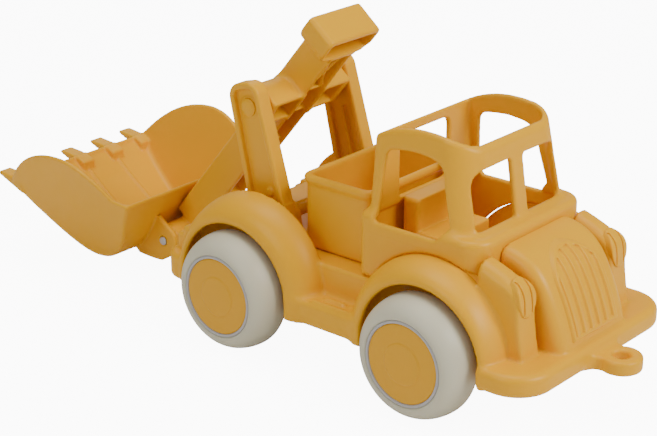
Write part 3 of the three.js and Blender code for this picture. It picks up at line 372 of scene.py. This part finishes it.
def chassis(x, y, z):
    """Outer shapes melted together from the deck outwards, then hollows carved from below."""
    x = np.abs(x)
    deck = block(x, y, z, (-WELL_WALL, WELL_WALL), (-21.8, 149.5), (SKIRT, DECK), 1.2)
    nose = block(x, y, z, (-WELL_WALL, WELL_WALL), (-54, -10), (SKIRT, 35), 1)
    body = np.minimum(deck, nose)
    for wheel, radius, shift in FENDERS:
        whole = np.maximum(fender(x, y, z, wheel, radius, shift, 0), SKIRT - z)
        body = melt(body, whole, 1.6)
    body = melt(melt(body, front_end(x, y, z), 1.2), bumper(x, y, z), 1.5)
    body = melt(body, tow_eye(x, y, z), 2.5)
    body = melt(body, block(x, y, z, (38, 58), (20, 95), (SKIRT, 37), 2.2), 3.5)
    ridges = np.minimum(block(x, y, z, (54, 56.6), (40, 66), (34, 38.4), 1.2),
                        block(x, y, z, (48.4, 51), (49.5, 63), (34, 38.4), 1.2))
    body = melt(body, ridges, 0.8)
    body = melt(body, rear_corner(x, y, z), 1.2)
    inner = WELL_WALL - WALL
    under = np.minimum(block(x, y, z, (-inner, inner), (-19.5, 147), (0, DECK - 2.5), 1),
                       block(x, y, z, (-24, 24), (-50, -10), (0, 44), 3))
    body = carve(body, under, 0.4)
    for wheel, radius, shift in FENDERS:
        room = np.maximum(fender(x, y, z, wheel, radius, shift, 2.5), WELL_WALL - x)
        opening = np.maximum(np.hypot(y - wheel, z - WHEEL_RADIUS) - OPENING, WELL_WALL - x)
        body = carve(body, np.minimum(room, opening), 1.3)
        axle_slot = block(x, y, z, (40, 46), (wheel - 3.5, wheel + 3.5), (0, WHEEL_RADIUS + 3.5), 0.5)
        body = carve(body, axle_slot, 0.3)
    leg_slot = block(x, y, z, (CHEEK[1], inner), (93.5, 125.1), (DECK - 9, 120), 1)
    body = melt(carve(body, leg_slot, 0.4), carriers(x, y, z), 0.8)
    return carve(body, rod_holes(x, y, z), 0.3)


piece = moulding("chassis_body_shell", *skin(chassis, (-64, -84, 21), (64, 168, 86), 1.25 * COARSE), yellow,
                 "chassis_body", "yellow_plastic")
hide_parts("chassis")


# ---------------------------------------------------------------- grille and lamps
# The hood's arched grille has a rounded border and six louvres, each a slope that ends in a
# groove. Each pod carries an oval lamp with three flutes. They are skinned on a finer grid.

GRILLE_HALF = 18.4
GRILLE_FOOT, ARCH_RISE = 39.5, 24.5
LOUVRE = 6
LAMP_X, LAMP_Z = 37.8, 64.4
LAMP_HALF_WIDTH, LAMP_HALF_HEIGHT = 6.4, 9.0


def grille(x, y, z):
    """The hood's face moved out by 1.4 - 1.2 * min(share / 0.88, (1 - share) / 0.12), where share
    runs from 0 to 1 across a louvre, inside an arch that ends in a plain border."""
    face = polygon(y, z, HOOD_OUTLINE)
    climb = z - GRILLE_FOOT
    straight = np.abs(x) - GRILLE_HALF
    arch = np.hypot(x, (climb - ARCH_RISE) * 1.35) - GRILLE_HALF
    panel = np.maximum(np.where(climb < ARCH_RISE, straight, arch), -climb)
    share = np.mod(x + 2.5 * LOUVRE, LOUVRE) / LOUVRE
    slope = 1.4 - 1.2 * np.minimum(share / 0.88, (1 - share) / 0.12)
    height = np.where(panel < -2.2, slope, 1.2) * np.clip(-panel / 0.8, 0, 1)
    plate = np.maximum(face - height, -face - 1.3)
    return np.maximum(np.maximum(plate, panel), y + 30)


moulding("hood_grille", *skin(grille, (-19, -60, 38), (19, -29, 79), 0.42 * COARSE), yellow,
         "chassis_body", "yellow_plastic")


def lamp(x, y, z):
    """An oval plate, (across / 6.4)^2 + (up / 9)^2 = 1, with a groove 2.9 to each side of its middle."""
    across = np.abs(x) - LAMP_X
    up = z - LAMP_Z
    pod = polygon(y, z, POD_OUTLINE)
    oval = (np.sqrt((across / LAMP_HALF_WIDTH) ** 2 + (up / LAMP_HALF_HEIGHT) ** 2) - 1) * LAMP_HALF_WIDTH
    plate = crossed(np.maximum(oval, slab(y, -46.3, -38)), pod - 1.0, 0.6)
    flutes = np.maximum(np.abs(np.abs(across) - 2.9) - 0.42, np.abs(up) - 7.4)
    return carve(plate, np.maximum(flutes, -0.1 - pod), 0.3)


for side, low, high in (("left", 30.5, 45), ("right", -45, -30.5)):
    moulding("lamp_" + side, *skin(lamp, (low, -47.5, 54.5), (high, -37, 74.5), 0.4 * COARSE), yellow,
             "chassis_body", "yellow_plastic")


# ---------------------------------------------------------------- cab, seat and tub
# The cab is one thin shell: a lower body with a soft cowl, pillars that lean in, door windows,
# a split windscreen, a rear window and an open roof ring. The seat and the tub stand behind it.

def filleted(corners, steps=6):
    """A closed outline from (a, b, radius) corners, each cut by the curve
    (1-t)^2 start + 2t(1-t) corner + t^2 end."""
    places = np.array(corners, float)
    line = []
    for before, here, after in zip(np.roll(places, 1, 0), places, np.roll(places, -1, 0)):
        start, end = (here[:2] + (other - here)[:2] * min(0.5, here[2] / np.linalg.norm((other - here)[:2]))
                      for other in (before, after))
        for t in np.linspace(0, 1, steps):
            line.append((1 - t) ** 2 * start + 2 * t * (1 - t) * here[:2] + t ** 2 * end)
    return line


ON_DECK = DECK + 0.3
DOOR = [(2.5, 81, 1), (38.6, 81, 2.5), (36.2, 115.4, 5), (19, 117.8, 8), (4, 115.2, 7), (2, 104, 4),
        (-2.4, 87.5, 1)]
PANE = [(4.9, 85.4, 1.5), (33, 85.4, 2.5), (32.2, 112.8, 8.5), (4.9, 113, 2)]
REAR_PANE = [(-19, 85, 3), (19, 85, 3), (19, 116, 5), (-19, 116, 5)]


WAIST = 84.5
ROOF_TOP = 128


def cab(x, y, z):
    """A lower and an upper shell melted together, hollowed by the same two moved inwards, under a
    roof line that falls from its top by 5.7 u^2.6 forwards and 8 u^2 backwards."""
    x = np.abs(x)
    rise = z - WAIST

    def lower(inset):
        corner = np.where(y < 10, 12, 4) - inset
        plan = crossed(slab(x, -43.6 + inset, 43.6 - inset), slab(y, -22 + inset, 47.2 - inset), corner)
        if inset:
            return np.maximum(plan, z - WAIST + inset)
        return crossed(plan, slab(z, ON_DECK, WAIST), 3)

    def upper(inset):
        half = 40.6 - 0.107 * rise - inset
        corner = np.where(y < 10, 14, 5) - inset
        plan = crossed(slab(x, -half, half), slab(y, -15.2 + 0.155 * rise + inset, 44.8 - inset), corner)
        return np.maximum(plan, 78 - z)

    fall = np.where(y < 16, 5.7 * (np.abs(y - 16) / 25) ** 2.6, 8 * ((y - 16) / 28.8) ** 2)
    roof = ROOF_TOP - fall
    outer = within(melt(lower(0), upper(0), 4), z - roof, 2)
    inner = melt(lower(3), upper(3), 3)
    shell = carve(outer, inner, 1.5)
    doors = np.maximum(polygon(y, z, filleted(DOOR)), 34 - x)
    panes = np.maximum(polygon(x, z, filleted(PANE)), y + 2)
    rear = np.maximum(polygon(x, z, filleted(REAR_PANE)), 38 - y)
    shell = carve(shell, np.minimum(np.minimum(doors, panes), rear), 1.6)
    wheel_room = np.maximum(np.hypot(y - 2, z - 31) - 42.8, 38 - x)
    drop = block(x, y, z, (30, 60), (-30, 0), (40, 68), 1)
    return carve(shell, np.minimum(wheel_room, drop), 0.8)


piece = moulding("cab_shell", *skin(cab, (-46, -25, 50), (46, 50, 131), 1.05 * COARSE), yellow,
                 "chassis_body", "yellow_plastic")
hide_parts("cab")


def seat(x, y, z):
    """An L-shaped side outline between two planes, hollow from below."""
    side = polygon(y, z, [(16.3, ON_DECK), (40.3, ON_DECK), (40.3, 86), (31.3, 86), (31.3, 70), (16.3, 70)])
    bench = crossed(side - 0.2, slab(x, -19, 19), 2)
    return carve(bench, block(x, y, z, (-16.5, 16.5), (18.8, 37.8), (40, 66.5), 1), 0.5)


piece = moulding("seat_moulding", *skin(seat, (-21, 14, 50), (21, 43, 88), 0.9 * COARSE), yellow,
                 "chassis_body", "yellow_plastic")
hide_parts("seat")


def tub(x, y, z):
    """Thin walls and a floor, with a rolled rim: hypot(plan, height - 87.6) - 2.2."""
    plan = crossed(slab(x, -32.6, 32.6), slab(y, 49.4, 90.8), 5)
    walls = crossed(plan, slab(z, ON_DECK, 88), 1.5)
    rim = np.hypot(crossed(slab(x, -31.8, 31.8), slab(y, 50.2, 90), 4), z - 87.6) - 2.2
    body = melt(walls, rim, 1.6)
    room = crossed(crossed(slab(x, -30.1, 30.1), slab(y, 51.9, 88.3), 3), slab(z, 54.8, 120), 2)
    return carve(body, room, 1.2)


piece = moulding("tub_moulding", *skin(tub, (-36, 46, 50), (36, 94, 92), 0.95 * COARSE), yellow,
                 "chassis_body", "yellow_plastic")
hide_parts("tub")


# ---------------------------------------------------------------- legs
# Each leg is a plate with a flange all round, a recessed web on both faces and bosses at its
# two pivots. It is drawn upright from its lower pivot and leant back towards the bucket.

LEG_LENGTH, LEG_LEAN = 57.0, math.radians(14.7)
LEG_ALONG = np.array((math.sin(LEG_LEAN), math.cos(LEG_LEAN)))
BOOM_PIVOT = LEG_PIVOT + LEG_LENGTH * LEG_ALONG
LEG_FACES = (29, 37.2)
PIN_HOLE = 4.15


def leg(x, across, along):
    """A tapering plate: half width from 12 at the foot to 9.7 at the top."""
    half = 12 - 2.3 * np.clip(along / 69, 0, 1)
    low = np.hypot(across, along)
    high = np.hypot(across, along - LEG_LENGTH)
    plan = crossed(np.abs(across) - half, slab(along, -0.5, 69.5), 7)
    plan = np.where(along < 7.5, np.maximum(np.abs(across) - 12, -along), plan)
    plan = np.minimum(plan, low - 12)
    plate = crossed(plan, slab(x, *LEG_FACES), 1.1)
    pocket = np.maximum(plan + 3.2, 1.25 - np.abs(x - sum(LEG_FACES) / 2))
    plate = carve(plate, pocket, 1.2)
    low_boss = crossed(low - 5.8, slab(x, *LEG_FACES), 0.6)
    high_boss = crossed(high - 5.4, slab(x, LEG_FACES[0], 34.9), 0.4)
    stop = crossed(np.hypot(across + 2.5, along - 14) - 2.2, slab(x, 30, 35.4), 0.8)
    rib = np.maximum(slab(along, 6, 42), slab(x, 29.4, 33))
    rib = np.maximum(np.abs(across + 1) - 1.7 + along / 30, rib)
    details = np.minimum(np.minimum(np.minimum(low_boss, high_boss), stop), rib)
    return carve(melt(plate, details, 0.8), np.minimum(low - ROD_HOLE, high - PIN_HOLE), 0.5)


points, faces = skin(leg, (27.5, -14, -14), (38.5, 14, 72), 0.6 * COARSE)
along = points[:, 2:3] * LEG_ALONG + points[:, 1:2] * np.array((LEG_ALONG[1], -LEG_ALONG[0])) + LEG_PIVOT
for side, sign in (("left", 1), ("right", -1)):
    placed = np.column_stack([sign * points[:, 0], along])
    piece = moulding("leg_moulding_" + side, placed, faces if sign > 0 else faces[:, ::-1], yellow, "legs",
                     "yellow_plastic")
    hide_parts("leg_" + side)


# ---------------------------------------------------------------- boom
# A channel open underneath, with a square grip at its upper end, a round-topped crosspiece
# between the legs, ribs inside and a barrel for the bucket's pin. It is drawn level along u,
# with v up, and turned down to its slope.

SLOPE = math.radians(50.5)
REACH = math.radians(51.6)
BOOM_LENGTH = 118.7
BARREL = BOOM_LENGTH * np.array((math.cos(SLOPE - REACH), math.sin(SLOPE - REACH)))


BAR_RISE = 0.6


def boom(x, u, v):
    """Beam, grip and crosspiece melted together, hollowed from below, with ribs put back in."""
    far = np.abs(x)
    top, low = 9.7, -8.3
    beam = block(x, u, v, (-9, 9), (-39, 111.5), (low, top), 1.2)
    grip_plan = crossed(slab(x, -19, 19), slab(u, -52.5, -36.5), np.where(u < -44, 3, 8))
    grip = crossed(grip_plan, slab(v, low, top), 1.5)
    bar_radius = np.where(v > BAR_RISE, np.hypot(u, v - BAR_RISE), np.abs(u))
    bar = crossed(np.maximum(bar_radius - 9.1, low - v), slab(x, -28.6, 28.6), 1)
    body = melt(melt(beam, grip, 2), bar, 3)
    hollow = block(x, u, v, (-6.6, 6.6), (-36.5, 109), (-20, top - 2.5), 1)
    hollow = np.minimum(hollow, block(x, u, v, (-16.5, 16.5), (-50, -39), (-20, top - 2.5), 1.5))
    hollow = np.minimum(hollow, np.maximum(bar_radius - 6.6, slab(far, 8.5, 24)))
    body = carve(body, hollow, 0.8)
    ribs = np.minimum.reduce([slab(u, s - 0.8, s + 0.8) for s in (-9, 9, 34, 58, 82)])
    cross = np.minimum(np.abs(x - (u + 22.5) * 0.48), np.abs(x + (u + 22.5) * 0.48)) * 0.9 - 0.8
    ribs = np.minimum(ribs, np.maximum(cross, slab(u, -36.5, -9)))
    ribs = np.maximum(np.maximum(ribs, slab(x, -7.5, 7.5)), slab(v, low + 2, top - 1))
    body = melt(body, ribs, 0.8)
    barrel = crossed(np.hypot(u - BARREL[0], v - BARREL[1]) - 8, slab(x, -21.5, 21.5), 1)
    neck = block(x, u, v, (-9, 9), (109, BARREL[0]), (BARREL[1] - 6, BARREL[1] + 7), 1)
    body = melt(body, melt(barrel, neck, 1), 1)
    bores = np.minimum(np.hypot(u - BARREL[0], v - BARREL[1]) - 2.7,
                       np.maximum(np.hypot(u, v) - PIN_HOLE, 13 - far))
    return carve(body, bores, 0.4)


points, faces = skin(boom, (-30.5, -54.5, -12.5), (30.5, 128, 11.5), 0.85 * COARSE)
turned_y = points[:, 1] * math.cos(SLOPE) + points[:, 2] * math.sin(SLOPE) + BOOM_PIVOT[0]
turned_z = points[:, 2] * math.cos(SLOPE) - points[:, 1] * math.sin(SLOPE) + BOOM_PIVOT[1]
piece = moulding("boom_moulding", np.column_stack([points[:, 0], turned_y, turned_z]), faces, yellow,
                 "boom_body", "yellow_plastic")
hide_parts("boom")


# ---------------------------------------------------------------- bucket
# A scoop whose floor is one smooth curve from the rear rim to the toothed lip, between two side
# plates that flare outwards. Three low ribs run along the floor, and two ears hold the pin.

BUCKET_PIVOT = BOOM_PIVOT + BOOM_LENGTH * np.array((math.cos(REACH), -math.sin(REACH)))


def bezier(p, q, r, s, n=14):
    """Points of a cubic curve: (1-t)^3 p + 3(1-t)^2 t q + 3(1-t) t^2 r + t^3 s."""
    t = np.linspace(0, 1, n)[:, None]
    p, q, r, s = (np.array(point, float) for point in (p, q, r, s))
    return (1 - t) ** 3 * p + 3 * (1 - t) ** 2 * t * q + 3 * (1 - t) * t ** 2 * r + t ** 3 * s


FLOOR = np.vstack([[(-3, 27.5)], bezier((6.5, 10), (14.5, -6.5), (24.5, -14.2), (38.5, -13.9)),
                   bezier((38.5, -13.9), (50.5, -13.5), (64.5, -3.5), (78.5, 6.5))[1:], [(91.5, 17.1)]])
EDGE = np.vstack([bezier((91.5, 21.1), (78.5, 36.5), (64.5, 45), (45.5, 46)),
                  bezier((45.5, 46), (32.5, 46.5), (24.5, 41.5), (16.5, 36.5))[1:], [(7.5, 29), (-3, 28)]])


EAR = softened([(6, 14.5), (-3, 8.5), (-7.5, 6), (-9.5, 0), (-8, -5), (-4, -8.5), (3.5, -13),
                (24.5, -11.5), (14.5, -2.5)], 1)
BUCKET_WALL = 2.2


def bucket(x, y, z):
    """The side outline between planes that flare by 10 in 28.9, less the same moved inwards."""
    x = np.abs(x)
    half = 49.5 + 10 / 28.9 * (z - 17.1)
    side = (x - half) * 0.945
    floor = polygon(y, z, np.vstack([FLOOR, [(120, 90), (-20, 90)]]))
    whole = polygon(y, z, np.vstack([FLOOR, EDGE]))
    outer = crossed(whole, side, 1.0)
    room = crossed(floor + BUCKET_WALL, side + BUCKET_WALL, 2.5)
    shell = carve(outer, room, 0.7)
    ribs = np.minimum.reduce([slab(x, s - 0.6, s + 0.6) for s in (0, 22.7)])
    ribs = np.maximum(np.maximum(ribs, slab(floor, -3.1, -1)), slab(y, 8, 90))
    shell = melt(shell, np.maximum(ribs, whole + 0.3), 0.8)
    tooth_side = polygon(y, z, [(84, 13.2), (103.5, 20.7), (103.5, 22.3), (89, 21.2), (84, 19)])
    spots = np.minimum.reduce([np.abs(x - s) for s in (0, 22.7, 45.4)]) - 4.25
    shell = melt(shell, crossed(tooth_side, spots, 0.6), 1)
    ears = np.maximum(crossed(polygon(y, z, EAR), slab(x, 22, 24.8), 0.5), -(floor + 1.5))
    shell = melt(shell, ears, 1)
    return carve(shell, np.maximum(np.hypot(y, z) - 2.45, slab(x, 15, 30)), 0.3)


points, faces = skin(bucket, (-61.5, -11.5, -16.5), (61.5, 105.5, 48.5), 0.95 * COARSE)
piece = moulding("bucket_moulding", points + (0, *BUCKET_PIVOT), faces, yellow, "bucket_body",
                 "yellow_plastic")
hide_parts("bucket")


# ---------------------------------------------------------------- wheels, axles and pins
# Every round part is a profile of (radius, x) turned about its own pivot: off-white tyres with
# a thin grey ring beside the disc, yellow discs with a raised middle, and the rods.

def turned(profile, y, z, around=96):
    """Points (x, y + r cos t, z + r sin t) for a profile that starts and ends on the axis or
    closes on itself, and the quads between them."""
    profile = np.asarray(profile, float)
    turn = np.linspace(0, 2 * math.pi, around, endpoint=False)
    r, x = profile[:, :1], profile[:, 1:]
    grid = np.stack([x + 0 * turn, y + r * np.cos(turn), z + r * np.sin(turn)], -1)
    n = len(profile)
    i, j = np.meshgrid(np.arange(n - 1), np.arange(around), indexing="ij")
    k = (j + 1) % around
    quads = np.stack([i * around + j, i * around + k, (i + 1) * around + k, (i + 1) * around + j], -1)
    return grid.reshape(-1, 3), quads.reshape(-1, 4)


def rounded_line(points, radius, steps=5):
    """An open line whose inner corners become arcs of about that radius."""
    points = [np.array(p, float) for p in points]
    line = [points[0]]
    for before, here, after in zip(points, points[1:], points[2:]):
        into, out = before - here, after - here
        reach = min(radius, 0.45 * np.linalg.norm(into), 0.45 * np.linalg.norm(out))
        start, end = here + into / np.linalg.norm(into) * reach, here + out / np.linalg.norm(out) * reach
        for t in np.linspace(0, 1, steps):
            line.append((1 - t) ** 2 * start + 2 * t * (1 - t) * here + t ** 2 * end)
    return np.array(line + [points[-1]])


def round_piece(name, profile, y, z, sign, material, body, slot, nodes=()):
    """A turned piece on either side of the truck, standing in for any CAD nodes that are named. Its
    faces are turned round where the profile runs so that they would point inwards."""
    points, faces = turned(profile, y, z)
    points = points * (sign, 1, 1)
    area = profile[:-1, 0] * profile[1:, 1] - profile[1:, 0] * profile[:-1, 1]
    if (area.sum() > 0) == (sign > 0):
        faces = faces[:, ::-1]
    piece = moulding(name, points, faces, material, body, slot)
    for node in nodes:
        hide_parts(node)
    return piece


def tyre_profile():
    """Quarters of ellipses from the crown at x = 55.5 down to the bead beside the disc, with the
    radius as core + (outer - core) * cos^0.9."""
    inner, low, high, crown = 19.4, 46.85, 70.25, 55.5
    core = inner + 1.5
    angle = np.radians(np.linspace(-90, 84, 40))
    side = np.where(angle < 0, crown - low, high - crown)
    radius = core + (WHEEL_RADIUS - core) * np.cos(angle) ** 0.9
    curve = np.column_stack([radius, crown + side * np.sin(angle)])
    return np.vstack([[(inner, 55), (inner, low + 1)], curve, [(21.3, 69.95), (21.2, 69.4)],
                      [(20.9, 69.3), (inner, 69.3), (inner, 55)]])


GREY_RING = [(20.95, 69.1), (20.9, 69.6), (20.6, 69.95), (20.1, 70.05), (19.6, 69.9), (19.45, 69.5),
             (19.45, 69.1), (20.95, 69.1)]
DISC = [(0, 70.2), (9.6, 70.2), (10.3, 69.75), (18.9, 69.7), (19.35, 69.3), (19.35, 47.85), (16.85, 47.85),
        (16.85, 67.25), (4.55, 67.25), (4.55, 46.85), (2.05, 46.85), (2.05, 65.25), (0, 65.25)]


def rod(half_length, radius, round_end):
    """The profile of a plain rod with rounded ends."""
    return rounded_line([(0, -half_length), (radius, -half_length), (radius, half_length),
                         (0, half_length)], round_end)


for axle, y in (("front", 0), ("rear", WHEELBASE)):
    body = axle + "_wheels"
    for side, sign in (("left", 1), ("right", -1)):
        name = f"{axle}_{side}_"
        round_piece(name + "tyre_moulding", tyre_profile(), y, WHEEL_RADIUS, sign, off_white, body,
                    "tyre_plastic", [name + "tyre"])
        round_piece(name + "grey_ring", np.array(GREY_RING), y, WHEEL_RADIUS, sign, grey_white, body,
                    "tyre_plastic")
        round_piece(name + "hub_moulding", rounded_line(DISC, 0.35), y, WHEEL_RADIUS, sign, disc_yellow,
                    body, "disc_plastic", [name + "hub"])
    round_piece(axle + "_axle_rod", rod(64.75, 2, 0.3), y, WHEEL_RADIUS, 1, steel, body, "axle_steel",
                [axle + "_axle"])

BOOM_STUB = [(0, 22), (4, 22), (4, 35.05), (4.7, 35.05), (4.5, 35.7), (3.2, 36.3), (0, 36.5)]
SLEEVE = [(3.1, -22.9), (3.6, -22.9), (3.6, 22.9), (3.1, 22.9), (3.1, -22.9)]
round_piece("leg_rod_sleeve", np.array(SLEEVE), *LEG_PIVOT, 1, yellow, "chassis_body", "yellow_plastic")
round_piece("leg_rod", rod(41.7, 3, 0.4), *LEG_PIVOT, 1, steel, "chassis_body", "axle_steel",
            ["leg_pivot_rod"])
round_piece("bucket_rod", rod(25.4, 2.4, 0.4), *BUCKET_PIVOT, 1, steel, "bucket_body", "axle_steel",
            ["bucket_pin"])
for side, sign in (("left", 1), ("right", -1)):
    round_piece("boom_stub_" + side, rounded_line(BOOM_STUB, 0.6), *BOOM_PIVOT, sign, yellow, "boom_body",
                "yellow_plastic", ["boom_pin_" + side])


# ---------------------------------------------------------------- floor and light
# A white studio sweep that is lit from behind, so that the camera sees it almost white, with a
# key light from the front, a soft one from above and weak ones from the left and the back.

def seen_white(tree, strength):
    """White light that only the camera sees: strength times 1 for its rays, 0 for any other."""
    ray = add(tree, "ShaderNodeLightPath", {}).outputs["Is Camera Ray"]
    power = add(tree, "ShaderNodeMath", {0: ray, 1: strength}, operation="MULTIPLY").outputs[0]
    return add(tree, "ShaderNodeEmission", {"Color": (1, 1, 1, 1), "Strength": power}).outputs[0]


material = bpy.data.materials.new("studio_paper")
material.use_nodes = True
tree = material.node_tree
paper = tree.nodes["Principled BSDF"]
paper.inputs["Base Color"].default_value = colour("#F2F2F1")
paper.inputs["Roughness"].default_value = 0.9
lit = add(tree, "ShaderNodeAddShader", {0: paper.outputs[0], 1: seen_white(tree, 10)})
tree.links.new(lit.outputs[0], tree.nodes["Material Output"].inputs["Surface"])
reach = 6
mesh = bpy.data.meshes.new("floor")
mesh.from_pydata([(-reach, -reach, 0), (reach, -reach, 0), (reach, reach, 0), (-reach, reach, 0)], [],
                 [(0, 1, 2, 3)])
mesh.materials.append(material)
floor = bpy.data.objects.new("floor", mesh)
bpy.context.scene.collection.objects.link(floor)

world = bpy.data.worlds.new("studio")
world.use_nodes = True
background = world.node_tree.nodes["Background"]
background.inputs["Color"].default_value = (1, 1, 1, 1)
background.inputs["Strength"].default_value = 0.28
bpy.context.scene.world = world


def softbox(name, place, target, size, power):
    """A square area light that faces a target."""
    data = bpy.data.lights.new(name, "AREA")
    data.size = size
    data.energy = power
    light = bpy.data.objects.new(name, data)
    light.location = place
    light.rotation_euler = (Vector(target) - Vector(place)).to_track_quat("-Z", "Y").to_euler()
    bpy.context.scene.collection.objects.link(light)


softbox("key_light", (0.2, -1.3, 1.0), (0, 0, 0.06), 0.6, 17)
softbox("top_light", (-0.1, 0.1, 1.4), (0, 0, 0.05), 0.9, 9)
softbox("left_light", (-1.3, 0.1, 0.8), (0, 0, 0.06), 0.6, 4.5)
softbox("back_light", (0.9, 0.8, 0.9), (0, 0, 0.06), 0.8, 2)
